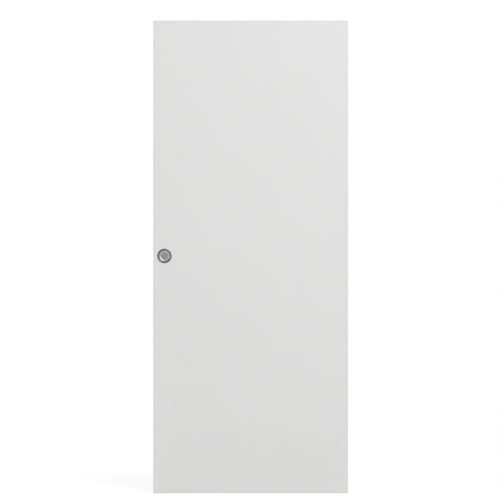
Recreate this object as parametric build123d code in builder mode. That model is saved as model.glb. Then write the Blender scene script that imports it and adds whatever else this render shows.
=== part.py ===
"""Flush sliding door leaf: two painted facings on a timber frame, with a round flush pull on each face.

Millimetres, +Z up. The leaf hangs, so the origin is the middle of its top edge, where the hanger
plates screw on. X runs along the slide, with the leading edge at -X, and the front faces -Y.
"""

from build123d import *
from math import radians, tan
import os

# The leaf
LEAF_WIDTH = 840
LEAF_HEIGHT = 2040
LEAF_THICKNESS = 40
FACING_THICKNESS = 3
FACING_ARRIS = 0.8
EDGE_BAND_THICKNESS = 2
EDGE_BAND_LAND = 0.5

# The timber frame between the facings
STILE_WIDTH = 34
TOP_RAIL_HEIGHT = 80
BOTTOM_RAIL_HEIGHT = 60
PULL_BLOCK_WIDTH = 95
PULL_BLOCK_HEIGHT = 380

# The floor guide's groove, milled along the whole bottom edge
GROOVE_WIDTH = 8
GROOVE_DEPTH = 18

# The flush pull: a round cup with a crowned flange, and a cap that hides its two screws
PULL_BACKSET = 48
PULL_HEIGHT = 1024
MOUTH_DIAMETER = 48
MOUTH_HEIGHT = 1.4
MOUTH_WALL = 0.2
FLANGE_WIDTH = 7
FLANGE_EDGE_HEIGHT = 0.5
FLANGE_CROWN_HEIGHT = 2.0
FLANGE_STEPS = 5
BOWL_DEPTH = 10
BOWL_LEDGE = 0.35
BOWL_STEPS = 4
CUP_WALL = 1.3
CUP_FLOOR_UNDER_CAP = 2.4
CAP_DIAMETER = 30.4
CAP_THICKNESS = 1.2
CAP_STANDS_PROUD = 0.2
CAP_CLEARANCE = 0.15
BORE_CLEARANCE = 0.3

# The pull's two screws lie across the leaf on the front and up it on the back, so that they miss each other
FRONT_SCREW_ANGLE = 0
BACK_SCREW_ANGLE = 90
SCREW_COUNT = 2
SCREW_SPACING = 15
SCREW_RADIUS = 1.6
SCREW_HEAD_RADIUS = 3.2
SCREW_HEAD_ANGLE = 90
SCREW_END_COVER = 4.3
SCREW_CLEARANCE = 0.1

# Sizes that follow
FRAME_THICKNESS = LEAF_THICKNESS - 2 * FACING_THICKNESS
FACING_WIDTH = LEAF_WIDTH - 2 * EDGE_BAND_THICKNESS
RAIL_LENGTH = FACING_WIDTH - 2 * STILE_WIDTH
CORE_HEIGHT = LEAF_HEIGHT - TOP_RAIL_HEIGHT - BOTTOM_RAIL_HEIGHT
EDGE_BAND_ARRIS = EDGE_BAND_THICKNESS - EDGE_BAND_LAND
MOUTH_RADIUS = MOUTH_DIAMETER / 2
FLANGE_RADIUS = MOUTH_RADIUS + FLANGE_WIDTH
BARREL_RADIUS = MOUTH_RADIUS + CUP_WALL
BORE_RADIUS = BARREL_RADIUS + BORE_CLEARANCE
CAP_SEAT_RADIUS = CAP_DIAMETER / 2 + CAP_CLEARANCE
CAP_SEAT_DEPTH = BOWL_DEPTH + CAP_THICKNESS - CAP_STANDS_PROUD
CUP_DEPTH = CAP_SEAT_DEPTH + CUP_FLOOR_UNDER_CAP
BORE_DEPTH = CUP_DEPTH + BORE_CLEARANCE
# The bowl's wall curves into its floor as roundly as the mouth's wall and the ledge round the cap allow
BOWL_CORNER_RADIUS = min(MOUTH_RADIUS - CAP_SEAT_RADIUS - BOWL_LEDGE, BOWL_DEPTH - MOUTH_WALL)
# Each pull's screws stop in the timber that is left in front of the other pull's bore
SCREW_LENGTH = LEAF_THICKNESS - BORE_DEPTH - SCREW_END_COVER - CAP_SEAT_DEPTH
SCREW_HEAD_HEIGHT = (SCREW_HEAD_RADIUS - SCREW_RADIUS) / tan(radians(SCREW_HEAD_ANGLE / 2))

# Places that follow
STILE_X = (FACING_WIDTH - STILE_WIDTH) / 2
EDGE_BAND_X = (LEAF_WIDTH - EDGE_BAND_THICKNESS) / 2
PULL_X = PULL_BACKSET - LEAF_WIDTH / 2
PULL_Z = PULL_HEIGHT - LEAF_HEIGHT
PULL_BLOCK_X = (PULL_BLOCK_WIDTH - RAIL_LENGTH) / 2
CORE_Z = -TOP_RAIL_HEIGHT - CORE_HEIGHT / 2
TOP_EDGE = Plane.XY
BOTTOM_EDGE = Plane.XY.offset(-LEAF_HEIGHT)
MIDDLE_PLANE = Plane.XZ
FRONT_FACE = MIDDLE_PLANE.offset(LEAF_THICKNESS / 2)
# Each pull has a plane on its face of the leaf, centred on the pull and facing outwards
FRONT_PULL = Plane((PULL_X, -LEAF_THICKNESS / 2, PULL_Z), x_dir=(1, 0, 0), z_dir=(0, -1, 0))
BACK_PULL = Plane((PULL_X, LEAF_THICKNESS / 2, PULL_Z), x_dir=(-1, 0, 0), z_dir=(0, 1, 0))


def section_of(pull):
    """The plane that cuts a pull in half: x is the radius, and y the height above the leaf's face."""
    return Plane(pull.origin, x_dir=pull.x_dir, z_dir=-pull.y_dir)


def make_bore(pull, screw_angle):
    """The hole that a pull's cup and screws need in the leaf."""
    with BuildPart() as bore:
        with BuildSketch(pull):
            Circle(BORE_RADIUS)
        extrude(amount=-BORE_DEPTH)
        with BuildSketch(pull):
            with PolarLocations(SCREW_SPACING / 2, SCREW_COUNT, screw_angle):
                Circle(SCREW_RADIUS + SCREW_CLEARANCE)
        extrude(amount=-CAP_SEAT_DEPTH - SCREW_LENGTH - SCREW_CLEARANCE)
    return bore


def steps_along(arc, steps):
    """Points spaced evenly along an arc, which keep what is turned from it to a few plain cones."""
    return [arc @ (step / steps) for step in range(steps + 1)]


def make_cup(pull, screw_angle):
    """The cup: a bowl with a crowned flange, and a seat in its floor for the cap."""
    with BuildPart() as cup:
        with BuildSketch(section_of(pull)):
            with BuildLine():
                crown = ThreePointArc(
                    (FLANGE_RADIUS, FLANGE_EDGE_HEIGHT),
                    (MOUTH_RADIUS + FLANGE_WIDTH / 2, FLANGE_CROWN_HEIGHT),
                    (MOUTH_RADIUS, MOUTH_HEIGHT),
                    mode=Mode.PRIVATE,
                )
                wall = CenterArc(
                    (MOUTH_RADIUS - BOWL_CORNER_RADIUS, BOWL_CORNER_RADIUS - BOWL_DEPTH),
                    BOWL_CORNER_RADIUS,
                    0,
                    -90,
                    mode=Mode.PRIVATE,
                )
                Polyline(
                    (FLANGE_RADIUS, 0),
                    *steps_along(crown, FLANGE_STEPS),
                    *steps_along(wall, BOWL_STEPS),
                    (CAP_SEAT_RADIUS, -BOWL_DEPTH),
                    (CAP_SEAT_RADIUS, -CAP_SEAT_DEPTH),
                    (0, -CAP_SEAT_DEPTH),
                    (0, -CUP_DEPTH),
                    (BARREL_RADIUS, -CUP_DEPTH),
                    (BARREL_RADIUS, 0),
                    close=True,
                )
            make_face()
        revolve(axis=Axis(pull.origin, pull.z_dir))
        with Locations(pull.offset(-CAP_SEAT_DEPTH)):
            with PolarLocations(SCREW_SPACING / 2, SCREW_COUNT, screw_angle):
                CounterSinkHole(
                    SCREW_RADIUS + SCREW_CLEARANCE,
                    SCREW_HEAD_RADIUS + SCREW_CLEARANCE,
                    CUP_FLOOR_UNDER_CAP,
                    SCREW_HEAD_ANGLE,
                )
    return cup


def make_cap(pull):
    """The disc that hides the cup's screws."""
    with BuildPart() as cap:
        with BuildSketch(pull.offset(-CAP_SEAT_DEPTH)):
            Circle(CAP_DIAMETER / 2)
        extrude(amount=CAP_THICKNESS)
    return cap


def make_screws(pull, screw_angle):
    """The two countersunk screws that hold a cup to the pull block."""
    with BuildPart() as screw:
        with BuildSketch(Plane.XZ):
            with BuildLine():
                Polyline(
                    (0, 0),
                    (SCREW_HEAD_RADIUS, 0),
                    (SCREW_RADIUS, -SCREW_HEAD_HEIGHT),
                    (SCREW_RADIUS, -SCREW_LENGTH),
                    (0, -SCREW_LENGTH),
                    close=True,
                )
            make_face()
        revolve(axis=Axis.Z)
    with BuildPart() as screws:
        with Locations(pull.offset(-CAP_SEAT_DEPTH)):
            with PolarLocations(SCREW_SPACING / 2, SCREW_COUNT, screw_angle):
                add(screw.part)
    return screws


# What is cut from the leaf: the floor guide's groove, and a bore for each pull
with BuildPart() as guide_groove:
    with BuildSketch(BOTTOM_EDGE):
        Rectangle(LEAF_WIDTH, GROOVE_WIDTH)
    extrude(amount=GROOVE_DEPTH)

front_bore = make_bore(FRONT_PULL, FRONT_SCREW_ANGLE)
back_bore = make_bore(BACK_PULL, BACK_SCREW_ANGLE)


# The timber frame
with BuildPart() as leading_stile:
    with BuildSketch(BOTTOM_EDGE):
        with Locations((-STILE_X, 0)):
            Rectangle(STILE_WIDTH, FRAME_THICKNESS)
    extrude(amount=LEAF_HEIGHT)
    add([guide_groove.part, front_bore.part, back_bore.part], mode=Mode.SUBTRACT)

with BuildPart() as trailing_stile:
    with BuildSketch(BOTTOM_EDGE):
        with Locations((STILE_X, 0)):
            Rectangle(STILE_WIDTH, FRAME_THICKNESS)
    extrude(amount=LEAF_HEIGHT)
    add(guide_groove.part, mode=Mode.SUBTRACT)

with BuildPart() as top_rail:
    with BuildSketch(TOP_EDGE):
        Rectangle(RAIL_LENGTH, FRAME_THICKNESS)
    extrude(amount=-TOP_RAIL_HEIGHT)

with BuildPart() as bottom_rail:
    with BuildSketch(BOTTOM_EDGE):
        Rectangle(RAIL_LENGTH, FRAME_THICKNESS)
    extrude(amount=BOTTOM_RAIL_HEIGHT)
    add(guide_groove.part, mode=Mode.SUBTRACT)

with BuildPart() as pull_block:
    with BuildSketch(MIDDLE_PLANE):
        with Locations((PULL_BLOCK_X, PULL_Z)):
            Rectangle(PULL_BLOCK_WIDTH, PULL_BLOCK_HEIGHT)
    extrude(amount=FRAME_THICKNESS / 2, both=True)
    add([front_bore.part, back_bore.part], mode=Mode.SUBTRACT)

# The paper honeycomb is closed in on every side, so one slab stands for its cells
with BuildPart() as honeycomb_core:
    with BuildSketch(MIDDLE_PLANE):
        with Locations((0, CORE_Z)):
            Rectangle(RAIL_LENGTH, CORE_HEIGHT)
        with Locations((PULL_BLOCK_X, PULL_Z)):
            Rectangle(PULL_BLOCK_WIDTH, PULL_BLOCK_HEIGHT, mode=Mode.SUBTRACT)
    extrude(amount=FRAME_THICKNESS / 2, both=True)


# The facings, and the bands on the two long edges
with BuildPart() as front_facing:
    with BuildSketch(FRONT_FACE):
        with Locations((0, -LEAF_HEIGHT / 2)):
            Rectangle(FACING_WIDTH, LEAF_HEIGHT)
    extrude(amount=-FACING_THICKNESS)
    fillet(front_facing.edges().filter_by(Axis.X).group_by(Axis.Y)[0], FACING_ARRIS)
    add(front_bore.part, mode=Mode.SUBTRACT)

with BuildPart() as back_facing:
    mirror(front_facing.part, about=MIDDLE_PLANE)

with BuildPart() as leading_edge_band:
    with BuildSketch(BOTTOM_EDGE) as band_section:
        with Locations((-EDGE_BAND_X, 0)):
            Rectangle(EDGE_BAND_THICKNESS, LEAF_THICKNESS)
        fillet(band_section.vertices().group_by(Axis.X)[0], EDGE_BAND_ARRIS)
    extrude(amount=LEAF_HEIGHT)
    add(guide_groove.part, mode=Mode.SUBTRACT)

with BuildPart() as trailing_edge_band:
    mirror(leading_edge_band.part, about=Plane.YZ)


nodes = {
    "leading_stile": leading_stile,
    "trailing_stile": trailing_stile,
    "top_rail": top_rail,
    "bottom_rail": bottom_rail,
    "pull_block": pull_block,
    "honeycomb_core": honeycomb_core,
    "front_facing": front_facing,
    "back_facing": back_facing,
    "leading_edge_band": leading_edge_band,
    "trailing_edge_band": trailing_edge_band,
    "front_pull_cup": make_cup(FRONT_PULL, FRONT_SCREW_ANGLE),
    "front_pull_cap": make_cap(FRONT_PULL),
    "front_pull_screws": make_screws(FRONT_PULL, FRONT_SCREW_ANGLE),
    "back_pull_cup": make_cup(BACK_PULL, BACK_SCREW_ANGLE),
    "back_pull_cap": make_cap(BACK_PULL),
    "back_pull_screws": make_screws(BACK_PULL, BACK_SCREW_ANGLE),
}

os.makedirs("parts", exist_ok=True)
for node, piece in nodes.items():
    piece.part.label = node
    export_step(piece.part, f"parts/{node}.step")
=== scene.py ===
"""Finishes and a studio for a flush sliding door leaf with a round recessed pull on each face."""

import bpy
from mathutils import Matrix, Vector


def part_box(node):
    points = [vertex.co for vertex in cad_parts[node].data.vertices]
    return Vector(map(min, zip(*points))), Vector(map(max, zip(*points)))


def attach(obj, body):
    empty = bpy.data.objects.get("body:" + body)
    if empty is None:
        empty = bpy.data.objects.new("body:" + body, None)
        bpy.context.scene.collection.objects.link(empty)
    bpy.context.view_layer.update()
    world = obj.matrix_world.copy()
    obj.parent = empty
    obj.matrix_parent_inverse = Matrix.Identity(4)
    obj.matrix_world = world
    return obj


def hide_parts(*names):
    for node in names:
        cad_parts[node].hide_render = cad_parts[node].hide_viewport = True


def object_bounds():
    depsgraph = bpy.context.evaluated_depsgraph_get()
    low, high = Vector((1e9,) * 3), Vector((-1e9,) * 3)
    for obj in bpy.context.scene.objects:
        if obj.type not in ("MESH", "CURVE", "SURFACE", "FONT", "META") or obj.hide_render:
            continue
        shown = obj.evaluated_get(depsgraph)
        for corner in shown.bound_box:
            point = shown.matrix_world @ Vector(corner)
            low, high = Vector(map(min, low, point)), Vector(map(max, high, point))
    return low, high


bl_info = {
    "name": "Flush Door Leaf",
    "version": (1, 0, 0),
    "blender": (4, 5, 0),
    "location": "3D View > Sidebar > Door Leaf",
    "description": "Finishes a flush sliding door leaf, turns its recessed pulls and sets up a studio",
    "category": "Object",
}

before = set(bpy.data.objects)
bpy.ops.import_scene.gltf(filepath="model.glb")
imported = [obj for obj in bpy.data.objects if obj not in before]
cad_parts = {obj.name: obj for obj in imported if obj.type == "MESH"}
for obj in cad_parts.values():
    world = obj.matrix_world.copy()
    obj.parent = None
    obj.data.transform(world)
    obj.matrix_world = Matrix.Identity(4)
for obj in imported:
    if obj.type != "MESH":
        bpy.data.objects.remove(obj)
CAD_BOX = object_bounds()

import math

import bmesh
import bpy
from bpy.props import FloatProperty, FloatVectorProperty, IntProperty, PointerProperty
from mathutils import Matrix, Vector

# What the frame says about the leaf and its pulls, in metres
LEAF_LOW, LEAF_HIGH = CAD_BOX
FACING_LOW, FACING_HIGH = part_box("front_facing")
CUP_LOW, CUP_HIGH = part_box("front_pull_cup")
CAP_LOW, CAP_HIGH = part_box("front_pull_cap")
SCREWS_LOW, SCREWS_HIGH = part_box("front_pull_screws")
FACE = -FACING_LOW.y
PULL_X = (CUP_LOW.x + CUP_HIGH.x) / 2
PULL_Z = (CUP_LOW.z + CUP_HIGH.z) / 2
FLANGE_RADIUS = (CUP_HIGH.z - CUP_LOW.z) / 2
FLANGE_STAND = -FACE - CUP_LOW.y
CUP_DEPTH = CUP_HIGH.y + FACE
CAP_RADIUS = (CAP_HIGH.z - CAP_LOW.z) / 2
CAP_TOP = CAP_LOW.y + FACE
CAP_SEAT = CAP_HIGH.y + FACE
BARREL_RADIUS = max(
    math.hypot(vertex.co.x - PULL_X, vertex.co.z - PULL_Z)
    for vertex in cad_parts["front_pull_cup"].data.vertices
    if vertex.co.y > CUP_HIGH.y - 0.0001
)
SCREW_HEAD_RADIUS = (SCREWS_HIGH.z - SCREWS_LOW.z) / 2
SCREW_SPACING = SCREWS_HIGH.x - SCREWS_LOW.x - 2 * SCREW_HEAD_RADIUS
SCREW_LENGTH = SCREWS_HIGH.y - SCREWS_LOW.y

# The section of the cup, in metres
FLANGE_WIDTH = 0.007
FLANGE_EDGE = 0.0005
FLANGE_CROWN = 0.002
MOUTH_HEIGHT = 0.0014
MOUTH_RADIUS = FLANGE_RADIUS - FLANGE_WIDTH
BOWL_LEDGE = 0.00035
SEAT_GAP = 0.00015
SEAT_DEPTH = 0.001
BARREL_CHAMFER = 0.0006
FLANGE_ARRIS = 0.0001
SEAT_ARRIS = 0.00006

# The screws and their holes, in metres
SHANK_RADIUS = SCREW_HEAD_RADIUS / 2
CORE_RADIUS = 0.0011
HEAD_DEPTH = 0.0016
HEAD_ARRIS = 0.0002
THREAD_START = 0.0021
THREAD_RUN_IN = 0.0002
THREAD_RUN_OUT = 0.0001
POINT_LENGTH = 0.003
POINT_RADIUS = 0.0002
HOLE_HEAD_RADIUS = 0.0033
HOLE_SHANK_RADIUS = 0.0017
RECESS_START = 0.0005
RECESS_DEPTH = 0.0013
RECESS_LENGTH = 0.0016
RECESS_WIDTH = 0.00035
CUT_PAST = 0.001

# Each flank of the thread, as a share of half a turn
THREAD_FLANK = 0.45

# The rounding of the cap's edge, in metres
CAP_ROUNDING = 0.0003

# Facets along the arcs of a turned piece, round a screw and its hole, and along a turn of its thread
CROWN_STEPS = 28
LIP_STEPS = 8
BOWL_STEPS = 36
CAP_EDGE_STEPS = 6
SCREW_STEPS = 32
THREAD_ROWS = 8

# Faces that meet at more than this angle show a sharp edge
SHARP_ANGLE = math.radians(35)

# Corners closer together than this become one after a cut, and shorter edges than this go, in metres
SAME_CORNER = 0.000003
SHORTEST_EDGE = 0.000001

# A wave texture repeats every 0.314 units at a scale of 1
WAVE_LENGTH = 0.314

# The distance between the ripples that the trimmer leaves on the bands, in metres
TRIMMER_RIPPLE = 0.004

# How each timber's grain is turned, and how far its rings' middle is moved, in metres
UPRIGHT = (0, 0, 0)
ACROSS = (0, math.radians(90), 0)
TIMBERS = {
    "leading_stile": (UPRIGHT, (0.37, 0.045, 0.0)),
    "trailing_stile": (UPRIGHT, (-0.43, -0.05, 0.7)),
    "top_rail": (ACROSS, (0.0, 0.06, 0.08)),
    "bottom_rail": (ACROSS, (0.3, -0.05, 2.05)),
    "pull_block": (UPRIGHT, (0.30, 0.07, 0.2)),
}

# The share of the paint's unevenness that comes from the roller's laps
LAP_SHARE = 0.25

# How far the growth rings wander, in metres, how sharply each one ends, and how strong the streaks are
RING_WANDER = 0.02
RING_SHARPNESS = 2.2
STREAK_STRENGTH = 0.45
STREAK_TONE = 0.8

# The paper wall of a cell as a share of the cell, and how dark the hollow in it is painted, as painted
# shade
CELL_WALL = 0.03
HOLLOW_SHADE_TONE = 0.35

# A facing's cut edge is where its surface's direction has more than this much of Z
CUT_EDGE_Z = 0.9

# The least and the most of a colour's brightness, as it wanders over each surface
PAINT_TONES = (0.988, 1.01)
BOARD_TONES = (0.7, 1.35)
BAND_TONES = (0.98, 1.015)
PAPER_TONES = (0.85, 1.15)
# Painted shade: the flange's plate goes from lighter at the lip to darker at its outer edge, not at
# random
FLANGE_SHADE_TONES = (1.2, 0.7)
CAP_TONES = (0.9, 1.1)
ZINC_TONES = (0.85, 1.1)
FLOOR_TONES = (0.985, 1.015)

# The roughness wanders by this much to either side
PAINT_BLUR = 0.05
PLATE_BLUR = 0.06
CAP_BLUR = 0.05

# The height of the fine relief on each surface, in metres
BAND_RELIEF = 0.000008
TIMBER_RELIEF = 0.00006
PAPER_RELIEF = 0.0004
CUP_RELIEF = 0.000002
CAP_RELIEF = 0.000004
ZINC_RELIEF = 0.000004

# Where one colour passes into the next, in metres: from a facing's edge, where the paint is darkened as
# painted shade, and from the cup's axis, where the bowl's upper wall turns bright as a painted highlight,
# the lip passes into the flange, and the flange darkens outward as painted shade
BORDER_SHADE_FADE = (0.003, 0.007)
WALL_HIGHLIGHT_FADE = (MOUTH_RADIUS - 0.0065, MOUTH_RADIUS - 0.003)
LIP_FADE = (MOUTH_RADIUS - 0.0002, MOUTH_RADIUS + 0.0004)
FLANGE_SHADE_FADE = (MOUTH_RADIUS + 0.001, FLANGE_RADIUS - 0.001)

# The colour of worn plate, and how much of it shows
WORN_PLATE = (0.6, 0.6, 0.6)
WEAR = 0.12

# Half the floor's side, and the gap between it and the leaf, in metres
FLOOR_REACH = 60.0
FLOOR_GAP = 0.0002

# The shadow lies in the floor's veil, which fades out between these distances, in metres
FLOOR_VEIL = (0.42, 0.42, 0.42)
SHADOW_FADE = (1.0, 3.5)

# Rays shorter than this pass the floor, so that it leaves the leaf's bottom edge lit, in metres
SHORT_RAY = 0.0006

WHITE = (1, 1, 1)

# The camera's place across and up, in metres
CAMERA_ACROSS = -0.00254
CAMERA_UP = -0.99035

# The lamps' places from the middle of the leaf, and the sizes of two of them, in metres
KEY_PLACE = (1.6, -4.3, 1.6)
BACK_PLACE = (-2.2, 4.2, 1.4)
STRIP_PLACE = (1.7, -1.7, 5.2)
STRIP_SIZE = (5.6, 1.0)
LEFT_PLACE = (-5.0, -1.4, 1.3)
LEFT_SIZE = (0.5, 0.5)


class LeafFinish(bpy.types.PropertyGroup):
    """Colours and surface of the painted facings, the edge bands, the timber and the core."""

    paint_colour: FloatVectorProperty(
        name="Paint", description="White paint on the two facings",
        subtype="COLOR", min=0, max=1, default=(0.74, 0.74, 0.74),
    )
    paint_roughness: FloatProperty(
        name="Paint roughness", description="How matt the paint is", min=0, max=1, default=0.5,
    )
    # Painted shade: how much darker the paint is made along a facing's edges
    border_shade: FloatProperty(
        name="Border tone", description="Brightness of the thinner paint along a facing's edges",
        min=0.5, max=1, default=0.94,
    )
    stipple_size: FloatProperty(
        name="Stipple", description="Distance between the bumps that the paint roller leaves",
        unit="LENGTH", min=0.0005, max=0.02, default=0.0024,
    )
    stipple_height: FloatProperty(
        name="Stipple height", description="Height of the paint roller's bumps",
        unit="LENGTH", min=0, max=0.001, precision=5, default=0.00016,
    )
    board_colour: FloatVectorProperty(
        name="Board", description="Raw hardboard where a facing's cut edge shows",
        subtype="COLOR", min=0, max=1, default=(0.27, 0.165, 0.09),
    )
    band_colour: FloatVectorProperty(
        name="Edge band", description="White plastic band on the long edges",
        subtype="COLOR", min=0, max=1, default=(0.73, 0.73, 0.727),
    )
    early_wood: FloatVectorProperty(
        name="Early wood", description="Pale part of each growth ring in the softwood",
        subtype="COLOR", min=0, max=1, default=(0.68, 0.49, 0.28),
    )
    late_wood: FloatVectorProperty(
        name="Late wood", description="Dark part of each growth ring in the softwood",
        subtype="COLOR", min=0, max=1, default=(0.45, 0.27, 0.12),
    )
    ring_spacing: FloatProperty(
        name="Growth rings", description="Distance between the softwood's growth rings",
        unit="LENGTH", min=0.0005, max=0.02, default=0.0032,
    )
    paper_colour: FloatVectorProperty(
        name="Honeycomb paper", description="Unbleached paper of the core",
        subtype="COLOR", min=0, max=1, default=(0.42, 0.29, 0.17),
    )
    cell_size: FloatProperty(
        name="Honeycomb cell", description="Width of a cell of the core",
        unit="LENGTH", min=0.005, max=0.1, default=0.02,
    )


class PullFinish(bpy.types.PropertyGroup):
    """Shape and metal of the recessed pulls."""

    turning_steps: IntProperty(
        name="Turning steps", description="Facets round a turned piece",
        min=32, max=256, default=144,
    )
    lip_radius: FloatProperty(
        name="Lip", description="Rounding where the flange turns into the bowl",
        unit="LENGTH", min=0.0001, max=0.001, precision=4, default=0.0006,
    )
    # Painted reflection: the flange is coloured dark, standing in for the dark surroundings its polished
    # plate would reflect
    flange_painted_reflection: FloatVectorProperty(
        name="Flange", description="Dark plate on the flange",
        subtype="COLOR", min=0, max=1, default=(0.112, 0.112, 0.114),
    )
    bowl_colour: FloatVectorProperty(
        name="Bowl", description="Plate low in the bowl, round the cap",
        subtype="COLOR", min=0, max=1, default=(0.36, 0.36, 0.362),
    )
    # Painted highlight: a brighter plate colour on the bowl's upper wall, standing in for its sheen
    wall_highlight_colour: FloatVectorProperty(
        name="Bowl wall", description="Bright plate on the upper wall of the bowl",
        subtype="COLOR", min=0, max=1, default=(0.54, 0.54, 0.542),
    )
    plate_roughness: FloatProperty(
        name="Plate roughness", description="How blurred the plate's reflections are",
        min=0, max=1, default=0.2,
    )
    cap_colour: FloatVectorProperty(
        name="Cap", description="Satin metal of the cap in the bowl's floor",
        subtype="COLOR", min=0, max=1, default=(0.255, 0.255, 0.255),
    )
    cap_roughness: FloatProperty(
        name="Cap roughness", description="How blurred the cap's reflections are",
        min=0, max=1, default=0.36,
    )
    turning_spacing: FloatProperty(
        name="Turning marks", description="Distance between the fine rings that turning leaves",
        unit="LENGTH", min=0.00005, max=0.002, precision=5, default=0.00035,
    )
    zinc_colour: FloatVectorProperty(
        name="Zinc", description="Bright zinc plate of the screws",
        subtype="COLOR", min=0, max=1, default=(0.55, 0.55, 0.54),
    )
    thread_pitch: FloatProperty(
        name="Thread pitch", description="Distance between the turns of a screw's thread",
        unit="LENGTH", min=0.0005, max=0.003, precision=4, default=0.0013,
    )


class Studio(bpy.types.PropertyGroup):
    """The lamps, the background and the camera."""

    fill: FloatProperty(
        name="Fill", description="Plain light from all round", min=0, max=2, default=0.54,
    )
    key_power: FloatProperty(
        name="Key lamp", description="Power of the large soft lamp in front, to the right",
        subtype="POWER", min=0, max=2000, default=59,
    )
    key_size: FloatProperty(
        name="Key lamp size", description="Side of the square lamps in front and behind",
        unit="LENGTH", min=0.1, max=5, default=2.6,
    )
    strip_power: FloatProperty(
        name="Strip lamp", description="Power of the long lamp high up, almost in line with the leaf",
        subtype="POWER", min=0, max=2000, default=112,
    )
    left_power: FloatProperty(
        name="Left lamp", description="Power of the small lamp on the left, almost in line with the leaf",
        subtype="POWER", min=0, max=2000, default=26,
    )
    back_power: FloatProperty(
        name="Back lamp", description="Power of the large soft lamp behind the leaf",
        subtype="POWER", min=0, max=2000, default=95,
    )
    floor_colour: FloatVectorProperty(
        name="Floor", description="Pale floor",
        subtype="COLOR", min=0, max=1, default=(0.803, 0.8, 0.792),
    )
    floor_glow: FloatProperty(
        name="Floor glow", description="White that the floor shows near the leaf, under its shadow",
        min=0, max=1, default=0.605,
    )
    lens: FloatProperty(
        name="Lens", description="Focal length of the camera",
        unit="CAMERA", min=20, max=400, default=135,
    )
    camera_distance: FloatProperty(
        name="Camera distance", description="From the front face to the camera",
        unit="LENGTH", min=1, max=50, default=8.095,
    )


def new_finish(name):
    """A material with its node tree and its one shader."""
    finish = bpy.data.materials.new(name)
    finish.use_nodes = True
    tree = finish.node_tree
    return finish, tree, tree.nodes["Principled BSDF"]


def connect(tree, value, socket):
    """Links a socket into another, or sets a plain value. A colour's alpha is always 1."""
    if isinstance(value, bpy.types.NodeSocket):
        tree.links.new(value, socket)
    elif socket.type == "RGBA":
        socket.default_value = (*value, 1)
    else:
        socket.default_value = value


def place_node(tree, kind, settings=None, **inputs):
    """A node with its settings, and a value or a link for each named input."""
    node = tree.nodes.new(kind)
    for name, value in (settings or {}).items():
        setattr(node, name, value)
    for name, value in inputs.items():
        connect(tree, value, node.inputs[name.replace("_", " ")])
    return node


def calculate(tree, operation, *values):
    """A Math node's result."""
    node = tree.nodes.new("ShaderNodeMath")
    node.operation = operation
    for socket, value in zip(node.inputs, values):
        connect(tree, value, socket)
    return node.outputs[0]


def spread(tree, value, low, high):
    """A value from 0 to 1, spread from low to high."""
    node = place_node(tree, "ShaderNodeMapRange", Value=value, To_Min=low, To_Max=high)
    return node.outputs["Result"]


def between(tree, value, start, end, easing="LINEAR"):
    """How far a value is on its way from start to end, from 0 to 1."""
    node = place_node(
        tree, "ShaderNodeMapRange", {"interpolation_type": easing},
        Value=value, From_Min=start, From_Max=end,
    )
    return node.outputs["Result"]


def shade(tree, factor, first, second):
    """A colour between two others."""
    node = tree.nodes.new("ShaderNodeMix")
    node.data_type = "RGBA"
    sockets = (node.inputs[0], node.inputs[6], node.inputs[7])
    for socket, value in zip(sockets, (factor, first, second)):
        connect(tree, value, socket)
    return node.outputs[2]


def times(colour, share):
    """A colour with each of its parts times share."""
    return tuple(part * share for part in colour)


def toned(tree, factor, colour, tones):
    """A colour whose brightness goes from one tone to the other."""
    return shade(tree, factor, times(colour, tones[0]), times(colour, tones[1]))


def object_place(tree):
    """Coordinates in metres on the piece itself."""
    return tree.nodes.new("ShaderNodeTexCoord").outputs["Object"]


def stretched(tree, place, scale):
    """Coordinates with each axis times its own scale."""
    return place_node(tree, "ShaderNodeMapping", Vector=place, Scale=scale).outputs[0]


def noise(tree, place, scale, detail, roughness=0.5):
    """Cloudy values round a half, with scale lumps to a unit of the coordinates."""
    node = place_node(
        tree, "ShaderNodeTexNoise", Vector=place, Scale=scale, Detail=detail, Roughness=roughness,
    )
    return node.outputs["Fac"]


def waves(tree, place, spacing, distortion, detail, **settings):
    """Ripples that far apart, in bands or in rings."""
    node = place_node(
        tree, "ShaderNodeTexWave", settings,
        Vector=place, Scale=WAVE_LENGTH / spacing, Distortion=distortion, Detail=detail,
    )
    return node.outputs["Fac"]


def roughen(tree, shader, height, distance):
    """A bump of that real height under the shader."""
    bump = place_node(tree, "ShaderNodeBump", Height=height, Distance=distance, Strength=1.0)
    tree.links.new(bump.outputs["Normal"], shader.inputs["Normal"])


def painted_edge_shade(tree, place):
    """1 along a facing's four edges, where the paint is darkened as painted shade, and 0 a little way in.
    """
    parts = place_node(tree, "ShaderNodeSeparateXYZ", Vector=place)
    across = calculate(tree, "ABSOLUTE", parts.outputs["X"])
    side = calculate(tree, "SUBTRACT", FACING_HIGH.x, across)
    top = calculate(tree, "SUBTRACT", FACING_HIGH.z, parts.outputs["Z"])
    bottom = calculate(tree, "SUBTRACT", parts.outputs["Z"], FACING_LOW.z)
    nearest = calculate(tree, "MINIMUM", side, calculate(tree, "MINIMUM", top, bottom))
    return calculate(tree, "SUBTRACT", 1.0, between(tree, nearest, *BORDER_SHADE_FADE, "SMOOTHSTEP"))


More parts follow.
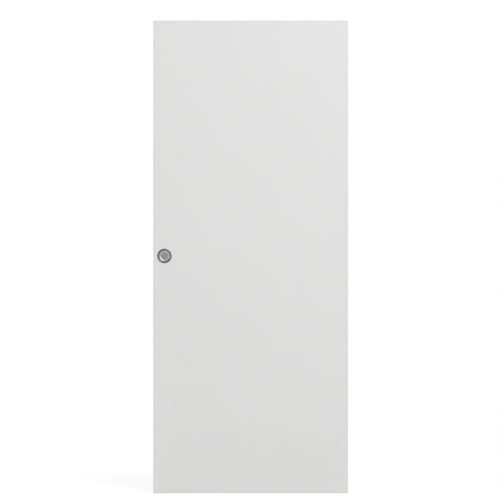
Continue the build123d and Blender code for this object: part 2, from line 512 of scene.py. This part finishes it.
def facing_finish(leaf):
    """Rolled white paint, darkened along the facings' edges as painted shade, with raw hardboard where a
    cut edge shows at the top and bottom.
    """
    finish, tree, shader = new_finish("rolled_white_paint")
    place = object_place(tree)
    clouds = noise(tree, place, scale=1.7, detail=2.0)
    laps = noise(tree, stretched(tree, place, (9.0, 9.0, 0.6)), scale=1.0, detail=1.0)
    even = calculate(tree, "MULTIPLY", clouds, 1 - LAP_SHARE)
    blend = calculate(tree, "MULTIPLY_ADD", laps, LAP_SHARE, even)
    rolled = toned(tree, blend, leaf.paint_colour, PAINT_TONES)
    # Painted shade: the paint is darkened along the facing's four edges
    shaded = times(leaf.paint_colour, leaf.border_shade)
    white = shade(tree, painted_edge_shade(tree, place), rolled, shaded)
    fibres = noise(tree, stretched(tree, place, (220.0, 900.0, 900.0)), scale=1.0, detail=4.0)
    board = toned(tree, fibres, leaf.board_colour, BOARD_TONES)
    normal = tree.nodes.new("ShaderNodeNewGeometry").outputs["True Normal"]
    upwards = place_node(tree, "ShaderNodeSeparateXYZ", Vector=normal).outputs["Z"]
    cut_edge = calculate(tree, "GREATER_THAN", calculate(tree, "ABSOLUTE", upwards), CUT_EDGE_Z)
    tree.links.new(shade(tree, cut_edge, white, board), shader.inputs["Base Color"])
    stipple = noise(tree, place, scale=1 / leaf.stipple_size, detail=2.0, roughness=0.45)
    matt = spread(tree, stipple, leaf.paint_roughness - PAINT_BLUR, leaf.paint_roughness + PAINT_BLUR)
    tree.links.new(calculate(tree, "MULTIPLY_ADD", cut_edge, 0.3, matt), shader.inputs["Roughness"])
    roughen(tree, shader, stipple, leaf.stipple_height)
    return finish


def band_finish(leaf):
    """Satin white plastic with the faint ripple of the edge trimmer."""
    finish, tree, shader = new_finish("satin_white_band")
    place = object_place(tree)
    clouds = noise(tree, place, scale=3.0, detail=2.0)
    tree.links.new(toned(tree, clouds, leaf.band_colour, BAND_TONES), shader.inputs["Base Color"])
    ripple = waves(tree, place, TRIMMER_RIPPLE, distortion=0.8, detail=1.0, bands_direction="Z")
    grain = noise(tree, place, scale=1400.0, detail=2.0)
    surface = calculate(tree, "MULTIPLY_ADD", ripple, 0.3, grain)
    tree.links.new(spread(tree, grain, 0.33, 0.43), shader.inputs["Roughness"])
    roughen(tree, shader, surface, BAND_RELIEF)
    return finish


def pine_finish(leaf, name, turn, pith):
    """Planed softwood, its growth rings round a pith line and its fibres along the grain."""
    finish, tree, shader = new_finish(name)
    moved = place_node(
        tree, "ShaderNodeMapping", Vector=object_place(tree), Location=pith, Rotation=turn,
    )
    along = moved.outputs[0]
    wander = place_node(
        tree, "ShaderNodeTexNoise", Vector=stretched(tree, along, (5.0, 5.0, 1.3)), Scale=1.0, Detail=2.0,
    )
    bend = place_node(
        tree, "ShaderNodeVectorMath", {"operation": "SCALE"},
        Vector=wander.outputs["Color"], Scale=RING_WANDER,
    )
    bent = place_node(tree, "ShaderNodeVectorMath", {"operation": "ADD"}, Vector=along)
    tree.links.new(bend.outputs[0], bent.inputs[1])
    rings = waves(
        tree, bent.outputs[0], leaf.ring_spacing, distortion=0.6, detail=2.0,
        wave_type="RINGS", rings_direction="Z", wave_profile="SAW",
    )
    ring = calculate(tree, "POWER", rings, RING_SHARPNESS)
    fibre = noise(tree, stretched(tree, along, (1500.0, 1500.0, 25.0)), scale=1.0, detail=3.0)
    wood = shade(tree, ring, leaf.early_wood, leaf.late_wood)
    streak = calculate(tree, "MULTIPLY", fibre, STREAK_STRENGTH)
    streaked = shade(tree, streak, wood, times(leaf.late_wood, STREAK_TONE))
    tree.links.new(streaked, shader.inputs["Base Color"])
    tree.links.new(spread(tree, fibre, 0.55, 0.8), shader.inputs["Roughness"])
    roughen(tree, shader, calculate(tree, "SUBTRACT", fibre, ring), TIMBER_RELIEF)
    return finish


def honeycomb_finish(leaf):
    """Unbleached paper cells, seen end on from the facings, their hollows coloured dark as painted shade.
    """
    finish, tree, shader = new_finish("honeycomb_paper")
    place = object_place(tree)
    cells = place_node(
        tree, "ShaderNodeTexVoronoi", {"feature": "DISTANCE_TO_EDGE"},
        Vector=stretched(tree, place, (1.0, 0.0, 1.0)), Scale=1 / leaf.cell_size, Randomness=0.35,
    )
    inside = calculate(tree, "GREATER_THAN", cells.outputs["Distance"], CELL_WALL)
    fibre = noise(tree, place, scale=700.0, detail=4.0)
    paper = toned(tree, fibre, leaf.paper_colour, PAPER_TONES)
    # Painted shade: the inside of each cell is coloured dark
    hollow_shade = times(leaf.paper_colour, HOLLOW_SHADE_TONE)
    tree.links.new(shade(tree, inside, paper, hollow_shade), shader.inputs["Base Color"])
    tree.links.new(spread(tree, fibre, 0.8, 0.95), shader.inputs["Roughness"])
    roughen(tree, shader, calculate(tree, "SUBTRACT", fibre, inside), PAPER_RELIEF)
    return finish


def distance_from_axis(tree, place):
    """How far a point of a turned piece is from its axis."""
    flat = stretched(tree, place, (1.0, 0.0, 1.0))
    length = place_node(tree, "ShaderNodeVectorMath", {"operation": "LENGTH"}, Vector=flat)
    return length.outputs["Value"]


def turning_marks(tree, place, spacing):
    """The fine rings that turning leaves, uneven as they really are."""
    return waves(
        tree, place, spacing, distortion=0.5, detail=2.0, wave_type="RINGS", rings_direction="Y",
    )


def cup_finish(pull):
    """Plated metal with faint turning marks and handling wear: a flange coloured dark as a painted
    reflection and darkening outward as painted shade, round a bowl whose upper wall is a painted
    highlight.
    """
    finish, tree, shader = new_finish("plated_cup")
    place = object_place(tree)
    reach = distance_from_axis(tree, place)
    # Painted highlight: the bowl's upper wall gets a brighter plate colour than its floor
    wall_highlight = between(tree, reach, *WALL_HIGHLIGHT_FADE)
    bowl = shade(tree, wall_highlight, pull.bowl_colour, pull.wall_highlight_colour)
    # Painted shade: the flange's plate is made lighter at the lip and darker toward its outer edge
    flange_shade = between(tree, reach, *FLANGE_SHADE_FADE)
    flange = toned(tree, flange_shade, pull.flange_painted_reflection, FLANGE_SHADE_TONES)
    past_lip = between(tree, reach, *LIP_FADE, "SMOOTHSTEP")
    plate = shade(tree, past_lip, bowl, flange)
    smudge = noise(tree, place, scale=90.0, detail=3.0)
    worn = shade(tree, calculate(tree, "MULTIPLY", smudge, WEAR), plate, WORN_PLATE)
    tree.links.new(worn, shader.inputs["Base Color"])
    shader.inputs["Metallic"].default_value = 1.0
    blur = spread(tree, smudge, pull.plate_roughness - PLATE_BLUR, pull.plate_roughness + PLATE_BLUR)
    tree.links.new(blur, shader.inputs["Roughness"])
    roughen(tree, shader, turning_marks(tree, place, pull.turning_spacing), CUP_RELIEF)
    return finish


def cap_finish(pull):
    """Satin metal, turned flat."""
    finish, tree, shader = new_finish("satin_cap")
    place = object_place(tree)
    marks = turning_marks(tree, place, pull.turning_spacing)
    smudge = noise(tree, place, scale=140.0, detail=3.0)
    tone = calculate(tree, "MULTIPLY_ADD", marks, 0.3, calculate(tree, "MULTIPLY", smudge, 0.7))
    tree.links.new(toned(tree, tone, pull.cap_colour, CAP_TONES), shader.inputs["Base Color"])
    shader.inputs["Metallic"].default_value = 1.0
    shader.inputs["Anisotropic"].default_value = 0.5
    tangent = place_node(tree, "ShaderNodeTangent", {"direction_type": "RADIAL", "axis": "Y"})
    tree.links.new(tangent.outputs[0], shader.inputs["Tangent"])
    blur = spread(tree, smudge, pull.cap_roughness - CAP_BLUR, pull.cap_roughness + CAP_BLUR)
    tree.links.new(blur, shader.inputs["Roughness"])
    roughen(tree, shader, marks, CAP_RELIEF)
    return finish


def zinc_finish(pull):
    """Bright zinc plate, slightly clouded."""
    finish, tree, shader = new_finish("bright_zinc")
    clouds = noise(tree, object_place(tree), scale=900.0, detail=3.0)
    tree.links.new(toned(tree, clouds, pull.zinc_colour, ZINC_TONES), shader.inputs["Base Color"])
    shader.inputs["Metallic"].default_value = 1.0
    tree.links.new(spread(tree, clouds, 0.28, 0.42), shader.inputs["Roughness"])
    roughen(tree, shader, clouds, ZINC_RELIEF)
    return finish


def dress(mesh, finish):
    """Gives a mesh its one finish."""
    mesh.materials.clear()
    mesh.materials.append(finish)


def dress_node(node_name, finish):
    """Gives a CAD node its finish."""
    dress(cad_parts[node_name].data, finish)


def add_object(name, data):
    """An object in the scene."""
    made = bpy.data.objects.new(name, data)
    bpy.context.scene.collection.objects.link(made)
    return made


def mesh_from(made, name):
    """A mesh from what was made, which is then let go."""
    mesh = bpy.data.meshes.new(name)
    made.to_mesh(mesh)
    made.free()
    return mesh


def smooth(mesh):
    """Shades a mesh smooth, but for its sharp edges."""
    mesh.shade_smooth()
    mesh.set_sharp_from_angle(angle=SHARP_ANGLE)


def arc_through(start, middle, end, steps):
    """Points along the arc through three points of a section."""
    (ax, ay), (bx, by), (cx, cy) = start, middle, end
    double = 2 * (ax * (by - cy) + bx * (cy - ay) + cx * (ay - by))
    a, b, c = ax * ax + ay * ay, bx * bx + by * by, cx * cx + cy * cy
    x = (a * (by - cy) + b * (cy - ay) + c * (ay - by)) / double
    y = (a * (cx - bx) + b * (ax - cx) + c * (bx - ax)) / double
    radius = math.hypot(ax - x, ay - y)
    first = math.atan2(ay - y, ax - x)
    last = math.atan2(cy - y, cx - x)
    angles = (first + (last - first) * step / steps for step in range(steps + 1))
    return [(x + radius * math.cos(angle), y + radius * math.sin(angle)) for angle in angles]


def quarter_round(centre, radius, first, last, steps):
    """Points along an arc of a section, from one angle to another in degrees."""
    angles = (math.radians(first + (last - first) * step / steps) for step in range(steps + 1))
    return [(centre[0] + radius * math.cos(a), centre[1] + radius * math.sin(a)) for a in angles]


def turn_section(name, section, steps):
    """A mesh turned from a section of (radius, height) points, its axis along -Y."""
    made = bmesh.new()
    angles = [2 * math.pi * step / steps for step in range(steps)]
    rings = []
    for radius, height in section:
        if radius < 1e-9:
            rings.append([made.verts.new((0, -height, 0))])
            continue
        points = ((radius * math.cos(angle), -height, radius * math.sin(angle)) for angle in angles)
        rings.append([made.verts.new(point) for point in points])
    for one, other in zip(rings, rings[1:]):
        if len(one) == len(other) == 1:
            continue
        for step in range(steps):
            following = (step + 1) % steps
            corners = [one[step % len(one)], one[following % len(one)]]
            corners += [other[following % len(other)], other[step % len(other)]]
            made.faces.new(list(dict.fromkeys(corners)))
    if len(rings[0]) > 1 and len(rings[-1]) > 1:
        for step in range(steps):
            following = (step + 1) % steps
            made.faces.new([rings[-1][step], rings[-1][following], rings[0][following], rings[0][step]])
    bmesh.ops.recalc_face_normals(made, faces=made.faces)
    mesh = mesh_from(made, name)
    smooth(mesh)
    return mesh


def stand_at_pull(name, mesh, side):
    """The mesh as an object on the front pull's axis, or turned round to the back pull's."""
    piece = add_object(name, mesh)
    turned = Matrix.Rotation(0 if side == "front" else math.pi, 4, "Z")
    reach = -FACE if side == "front" else FACE
    piece.matrix_world = Matrix.Translation((PULL_X, reach, PULL_Z)) @ turned
    return piece


def cut_out(mesh, cutter_meshes):
    """The mesh with the cutters' shapes cut out of it."""
    body = add_object("body_to_cut", mesh)
    cutters = []
    for cutter_mesh in cutter_meshes:
        cutter = add_object("cutter", cutter_mesh)
        cut = body.modifiers.new("cut", "BOOLEAN")
        cut.operation = "DIFFERENCE"
        cut.solver = "EXACT"
        cut.object = cutter
        cutters.append(cutter)
    graph = bpy.context.evaluated_depsgraph_get()
    result = bpy.data.meshes.new_from_object(body.evaluated_get(graph))
    for spent in (body, *cutters):
        bpy.data.objects.remove(spent)
    made = bmesh.new()
    made.from_mesh(result)
    bmesh.ops.remove_doubles(made, verts=made.verts, dist=SAME_CORNER)
    bmesh.ops.dissolve_degenerate(made, edges=made.edges, dist=SHORTEST_EDGE)
    made.to_mesh(result)
    made.free()
    smooth(result)
    return result


def screw_places(side):
    """Where a pull's two screws stand, across the leaf on the front and up it on the back."""
    reach = SCREW_SPACING / 2
    if side == "front":
        return [Vector((reach, 0, 0)), Vector((-reach, 0, 0))]
    return [Vector((0, 0, reach)), Vector((0, 0, -reach))]


def cup_section(pull):
    """Half of the cup, cut through its axis: crowned flange, rounded lip, bowl, cap seat and barrel."""
    edge = (FLANGE_RADIUS, FLANGE_EDGE)
    top = (FLANGE_RADIUS - FLANGE_WIDTH / 2, FLANGE_CROWN)
    crown = arc_through(edge, top, (MOUTH_RADIUS, MOUTH_HEIGHT), CROWN_STEPS)
    peak = max(height for _, height in crown)
    crown = [(radius, height * min(1, FLANGE_STAND / peak)) for radius, height in crown]
    crown = [point for point in crown if point[0] > MOUTH_RADIUS + pull.lip_radius]
    lip_centre = (MOUTH_RADIUS + pull.lip_radius, crown[-1][1] - pull.lip_radius)
    lip = quarter_round(lip_centre, pull.lip_radius, 100, 180, LIP_STEPS)
    seat = CAP_RADIUS + SEAT_GAP
    corner = MOUTH_RADIUS - seat - BOWL_LEDGE
    bowl_floor = CAP_SEAT - SEAT_DEPTH
    wall = quarter_round((MOUTH_RADIUS - corner, corner - bowl_floor), corner, 0, -90, BOWL_STEPS)
    return [
        (BARREL_RADIUS, 0),
        (FLANGE_RADIUS - FLANGE_ARRIS, 0),
        (FLANGE_RADIUS, FLANGE_ARRIS),
        *crown,
        *lip,
        *wall,
        (seat + SEAT_ARRIS, -bowl_floor),
        (seat, -bowl_floor - SEAT_ARRIS),
        (seat, -CAP_SEAT),
        (0, -CAP_SEAT),
        (0, -CUP_DEPTH),
        (BARREL_RADIUS - BARREL_CHAMFER, -CUP_DEPTH),
        (BARREL_RADIUS, -CUP_DEPTH + BARREL_CHAMFER),
    ]


def cap_section():
    """Half of the cap: a flat disc with a rounded edge."""
    centre = (CAP_RADIUS - CAP_ROUNDING, -CAP_TOP - CAP_ROUNDING)
    rim = quarter_round(centre, CAP_ROUNDING, 90, 0, CAP_EDGE_STEPS)
    return [(0, -CAP_TOP), *rim, (CAP_RADIUS, -CAP_SEAT), (0, -CAP_SEAT)]


def screw_hole_section():
    """Half of a countersunk hole in the cup's floor."""
    return [
        (0, -CAP_SEAT + CUT_PAST),
        (HOLE_HEAD_RADIUS, -CAP_SEAT + CUT_PAST),
        (HOLE_HEAD_RADIUS, -CAP_SEAT),
        (HOLE_SHANK_RADIUS, -CAP_SEAT - HEAD_DEPTH),
        (HOLE_SHANK_RADIUS, -CUP_DEPTH - CUT_PAST),
        (0, -CUP_DEPTH - CUT_PAST),
    ]


def tapered_slot(made, half_x, half_z):
    """One slot of the cross, half as long and as wide at its bottom."""
    corners = ((-half_x, -half_z), (half_x, -half_z), (half_x, half_z), (-half_x, half_z))
    top = [made.verts.new((x, -RECESS_START, z)) for x, z in corners]
    low = [made.verts.new((x / 2, RECESS_DEPTH, z / 2)) for x, z in corners]
    made.faces.new(top)
    made.faces.new(low[::-1])
    for step in range(4):
        following = (step + 1) % 4
        made.faces.new([top[following], top[step], low[step], low[following]])


def cross_recess():
    """The shape that a cross-head driver fits."""
    made = bmesh.new()
    tapered_slot(made, RECESS_LENGTH, RECESS_WIDTH)
    tapered_slot(made, RECESS_WIDTH, RECESS_LENGTH)
    bmesh.ops.recalc_face_normals(made, faces=made.faces)
    return mesh_from(made, "cross_recess")


def screw_mesh(pull):
    """A countersunk screw with a rolled thread, a point and a cross recess in its head."""
    threaded = SCREW_LENGTH - THREAD_START
    rows = int(threaded / pull.thread_pitch * THREAD_ROWS)
    drop = threaded / rows
    section = [
        (0, 0),
        (SCREW_HEAD_RADIUS - HEAD_ARRIS, 0),
        (SCREW_HEAD_RADIUS, -HEAD_ARRIS),
        (SHANK_RADIUS, -HEAD_DEPTH),
        (CORE_RADIUS, -THREAD_START),
        *((CORE_RADIUS, -THREAD_START - drop * row) for row in range(1, rows)),
        (0, -SCREW_LENGTH),
    ]
    mesh = turn_section("screw", section, SCREW_STEPS)
    for vertex in mesh.vertices:
        depth = vertex.co.y
        if not THREAD_START + THREAD_RUN_IN < depth < SCREW_LENGTH - THREAD_RUN_OUT:
            continue
        taper = min(1, (SCREW_LENGTH - depth) / POINT_LENGTH)
        turn = math.atan2(vertex.co.z, vertex.co.x) / (2 * math.pi)
        phase = (depth / pull.thread_pitch - turn) % 1
        ridge = max(0, 1 - abs(2 * phase - 1) / THREAD_FLANK) * (SHANK_RADIUS - CORE_RADIUS)
        radius = max((CORE_RADIUS + ridge) * taper, POINT_RADIUS)
        flat = Vector((vertex.co.x, 0, vertex.co.z)).normalized() * radius
        vertex.co = Vector((flat.x, depth, flat.z))
    return cut_out(mesh, [cross_recess()])


def joined(mesh, places):
    """One mesh with a copy of the given mesh at each place, set down to the cap's seat."""
    made = bmesh.new()
    for place in places:
        copy = mesh.copy()
        copy.transform(Matrix.Translation(place + Vector((0, CAP_SEAT, 0))))
        made.from_mesh(copy)
    return mesh_from(made, "screws")


class DOORLEAF_OT_facings(bpy.types.Operator):
    """Paint the two facings"""

    bl_idname = "doorleaf.facings"
    bl_label = "Paint the Facings"

    def execute(self, context):
        finish = facing_finish(context.scene.leaf_finish)
        dress_node("front_facing", finish)
        dress_node("back_facing", finish)
        return {"FINISHED"}


class DOORLEAF_OT_edge_bands(bpy.types.Operator):
    """Finish the bands on the two long edges"""

    bl_idname = "doorleaf.edge_bands"
    bl_label = "Finish the Edge Bands"

    def execute(self, context):
        finish = band_finish(context.scene.leaf_finish)
        dress_node("leading_edge_band", finish)
        dress_node("trailing_edge_band", finish)
        return {"FINISHED"}


class DOORLEAF_OT_timber(bpy.types.Operator):
    """Give the stiles, the rails and the pull block their own softwood"""

    bl_idname = "doorleaf.timber"
    bl_label = "Finish the Timber"

    def execute(self, context):
        leaf = context.scene.leaf_finish
        for timber, (turn, pith) in TIMBERS.items():
            dress_node(timber, pine_finish(leaf, f"pine_{timber}", turn, pith))
        return {"FINISHED"}


class DOORLEAF_OT_core(bpy.types.Operator):
    """Finish the honeycomb core"""

    bl_idname = "doorleaf.core"
    bl_label = "Finish the Core"

    def execute(self, context):
        dress_node("honeycomb_core", honeycomb_finish(context.scene.leaf_finish))
        return {"FINISHED"}


class DOORLEAF_OT_pull_cups(bpy.types.Operator):
    """Turn the cups of the two recessed pulls"""

    bl_idname = "doorleaf.pull_cups"
    bl_label = "Turn the Pull Cups"

    def execute(self, context):
        pull = context.scene.pull_finish
        finish = cup_finish(pull)
        for side in ("front", "back"):
            cup = turn_section(f"turned_{side}_cup", cup_section(pull), pull.turning_steps)
            holes = []
            for place in screw_places(side):
                hole = turn_section("screw_hole", screw_hole_section(), SCREW_STEPS)
                hole.transform(Matrix.Translation(place))
                holes.append(hole)
            mesh = cut_out(cup, holes)
            dress(mesh, finish)
            piece = stand_at_pull(f"{side}_turned_cup", mesh, side)
            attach(piece, "root")
            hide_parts(f"{side}_pull_cup")
        return {"FINISHED"}


class DOORLEAF_OT_pull_caps(bpy.types.Operator):
    """Turn the caps that lie in the floors of the two cups"""

    bl_idname = "doorleaf.pull_caps"
    bl_label = "Turn the Pull Caps"

    def execute(self, context):
        pull = context.scene.pull_finish
        finish = cap_finish(pull)
        for side in ("front", "back"):
            mesh = turn_section(f"turned_{side}_cap", cap_section(), pull.turning_steps)
            dress(mesh, finish)
            piece = stand_at_pull(f"{side}_turned_cap", mesh, side)
            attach(piece, "root")
            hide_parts(f"{side}_pull_cap")
        return {"FINISHED"}


class DOORLEAF_OT_pull_screws(bpy.types.Operator):
    """Make the countersunk screws under the two caps"""

    bl_idname = "doorleaf.pull_screws"
    bl_label = "Make the Pull Screws"

    def execute(self, context):
        pull = context.scene.pull_finish
        finish = zinc_finish(pull)
        screw = screw_mesh(pull)
        for side in ("front", "back"):
            mesh = joined(screw, screw_places(side))
            dress(mesh, finish)
            smooth(mesh)
            piece = stand_at_pull(f"{side}_threaded_screws", mesh, side)
            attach(piece, "root")
            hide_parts(f"{side}_pull_screws")
        return {"FINISHED"}


def mix_shaders(tree, factor, first, second):
    """A shader between two others."""
    node = tree.nodes.new("ShaderNodeMixShader")
    for socket, value in zip(node.inputs, (factor, first, second)):
        tree.links.new(value, socket)
    return node.outputs[0]


def seen_or_mirrored(tree, rays):
    """1 for the camera's own rays and for those that metal or glass sends on, otherwise 0."""
    seen = calculate(tree, "MAXIMUM", rays["Is Camera Ray"], rays["Is Glossy Ray"])
    return calculate(tree, "MAXIMUM", seen, rays["Is Transmission Ray"])


def floor_finish(studio):
    """A pale floor that shows as white with the leaf's soft shadow on it, and is clear from below."""
    finish, tree, shader = new_finish("pale_floor")
    shader.inputs["Roughness"].default_value = 0.8
    place = object_place(tree)
    clouds = noise(tree, place, scale=2.0, detail=3.0)
    tree.links.new(toned(tree, clouds, studio.floor_colour, FLOOR_TONES), shader.inputs["Base Color"])
    glow = place_node(tree, "ShaderNodeEmission", Color=WHITE, Strength=studio.floor_glow)
    veil = place_node(tree, "ShaderNodeBsdfDiffuse", Color=FLOOR_VEIL)
    near = tree.nodes.new("ShaderNodeAddShader")
    tree.links.new(glow.outputs[0], near.inputs[0])
    tree.links.new(veil.outputs[0], near.inputs[1])
    far = place_node(tree, "ShaderNodeEmission", Color=WHITE, Strength=1.0)
    reach = place_node(tree, "ShaderNodeVectorMath", {"operation": "LENGTH"}, Vector=place)
    away = between(tree, reach.outputs["Value"], *SHADOW_FADE, "SMOOTHSTEP")
    shown = mix_shaders(tree, away, near.outputs[0], far.outputs[0])
    rays = tree.nodes.new("ShaderNodeLightPath").outputs
    lit = mix_shaders(tree, seen_or_mirrored(tree, rays), shader.outputs[0], shown)
    from_below = tree.nodes.new("ShaderNodeNewGeometry").outputs["Backfacing"]
    from_the_edge = calculate(tree, "LESS_THAN", rays["Ray Length"], SHORT_RAY)
    open_to_light = calculate(tree, "MAXIMUM", from_below, from_the_edge)
    clear = tree.nodes.new("ShaderNodeBsdfTransparent").outputs[0]
    whole = mix_shaders(tree, open_to_light, lit, clear)
    tree.links.new(whole, tree.nodes["Material Output"].inputs["Surface"])
    return finish


def make_floor(studio):
    """A wide floor under the leaf's bottom edge."""
    made = bmesh.new()
    bmesh.ops.create_grid(made, x_segments=24, y_segments=24, size=FLOOR_REACH)
    floor = add_object("floor", mesh_from(made, "floor"))
    dress(floor.data, floor_finish(studio))
    floor.location = (0, 0, LEAF_LOW.z - FLOOR_GAP)


def light_world(studio):
    """Plain fill light, and a white background for the camera and for reflections."""
    world = bpy.data.worlds.new("white_studio")
    bpy.context.scene.world = world
    world.use_nodes = True
    tree = world.node_tree
    fill = tree.nodes["Background"]
    connect(tree, WHITE, fill.inputs["Color"])
    connect(tree, studio.fill, fill.inputs["Strength"])
    white = place_node(tree, "ShaderNodeBackground", Color=WHITE, Strength=1.0)
    rays = tree.nodes.new("ShaderNodeLightPath").outputs
    mixed = mix_shaders(tree, seen_or_mirrored(tree, rays), fill.outputs[0], white.outputs[0])
    tree.links.new(mixed, tree.nodes["World Output"].inputs["Surface"])


def add_lamp(name, place, size, power):
    """A soft lamp aimed at the middle of the leaf, its long side square to the line from the leaf."""
    light = bpy.data.lights.new(name, "AREA")
    light.shape = "RECTANGLE"
    light.size, light.size_y = size
    light.energy = power
    back = Vector(place).normalized()
    long_side = Vector((0, 1, 0)).cross(back).normalized()
    across = back.cross(long_side)
    turn = Matrix((long_side, across, back)).transposed().to_4x4()
    middle = (LEAF_LOW + LEAF_HIGH) / 2
    lamp = add_object(name, light)
    lamp.matrix_world = Matrix.Translation(middle + Vector(place)) @ turn
    lamp.visible_camera = False


def add_camera(studio):
    """A long lens square on to the front face."""
    lens = bpy.data.cameras.new("camera")
    lens.lens = studio.lens
    lens.sensor_width = 36
    lens.clip_start = 0.1
    lens.clip_end = 200
    camera = add_object("camera", lens)
    camera.location = (CAMERA_ACROSS, -FACE - studio.camera_distance, CAMERA_UP)
    camera.rotation_euler = (math.radians(90), 0, 0)
    bpy.context.scene.camera = camera


class DOORLEAF_OT_studio(bpy.types.Operator):
    """Set up the floor, the lamps, the background and the camera"""

    bl_idname = "doorleaf.studio"
    bl_label = "Set Up the Studio"

    def execute(self, context):
        studio = context.scene.studio
        context.scene.view_settings.view_transform = "Standard"
        make_floor(studio)
        light_world(studio)
        key_size = (studio.key_size, studio.key_size)
        add_lamp("key_lamp", KEY_PLACE, key_size, studio.key_power)
        add_lamp("back_lamp", BACK_PLACE, key_size, studio.back_power)
        add_lamp("strip_lamp", STRIP_PLACE, STRIP_SIZE, studio.strip_power)
        add_lamp("left_lamp", LEFT_PLACE, LEFT_SIZE, studio.left_power)
        add_camera(studio)
        return {"FINISHED"}


class DOORLEAF_PT_panel(bpy.types.Panel):
    """Finishes, pulls and studio of the door leaf"""

    bl_idname = "DOORLEAF_PT_panel"
    bl_label = "Door Leaf"
    bl_space_type = "VIEW_3D"
    bl_region_type = "UI"
    bl_category = "Door Leaf"

    def draw(self, context):
        column = self.layout.column()
        for group in (context.scene.leaf_finish, context.scene.pull_finish, context.scene.studio):
            for setting in group.bl_rna.properties:
                if setting.is_runtime:
                    column.prop(group, setting.identifier)
        for operator in OPERATORS:
            column.operator(operator.bl_idname)


GROUPS = (LeafFinish, PullFinish, Studio)
OPERATORS = (
    DOORLEAF_OT_facings,
    DOORLEAF_OT_edge_bands,
    DOORLEAF_OT_timber,
    DOORLEAF_OT_core,
    DOORLEAF_OT_pull_cups,
    DOORLEAF_OT_pull_caps,
    DOORLEAF_OT_pull_screws,
    DOORLEAF_OT_studio,
)


def register():
    """Makes the groups, the operators and the panel known, and gives the scene its settings."""
    for each in (*GROUPS, *OPERATORS, DOORLEAF_PT_panel):
        bpy.utils.register_class(each)
    bpy.types.Scene.leaf_finish = PointerProperty(type=LeafFinish)
    bpy.types.Scene.pull_finish = PointerProperty(type=PullFinish)
    bpy.types.Scene.studio = PointerProperty(type=Studio)


def unregister():
    """Takes the groups, the operators and the panel out again."""
    del bpy.types.Scene.studio
    del bpy.types.Scene.pull_finish
    del bpy.types.Scene.leaf_finish
    for each in reversed((*GROUPS, *OPERATORS, DOORLEAF_PT_panel)):
        bpy.utils.unregister_class(each)


def main():
    """Makes everything in order."""
    register()
    bpy.ops.doorleaf.facings()
    bpy.ops.doorleaf.edge_bands()
    bpy.ops.doorleaf.timber()
    bpy.ops.doorleaf.core()
    bpy.ops.doorleaf.pull_cups()
    bpy.ops.doorleaf.pull_caps()
    bpy.ops.doorleaf.pull_screws()
    bpy.ops.doorleaf.studio()


if __name__ == "__main__":
    main()
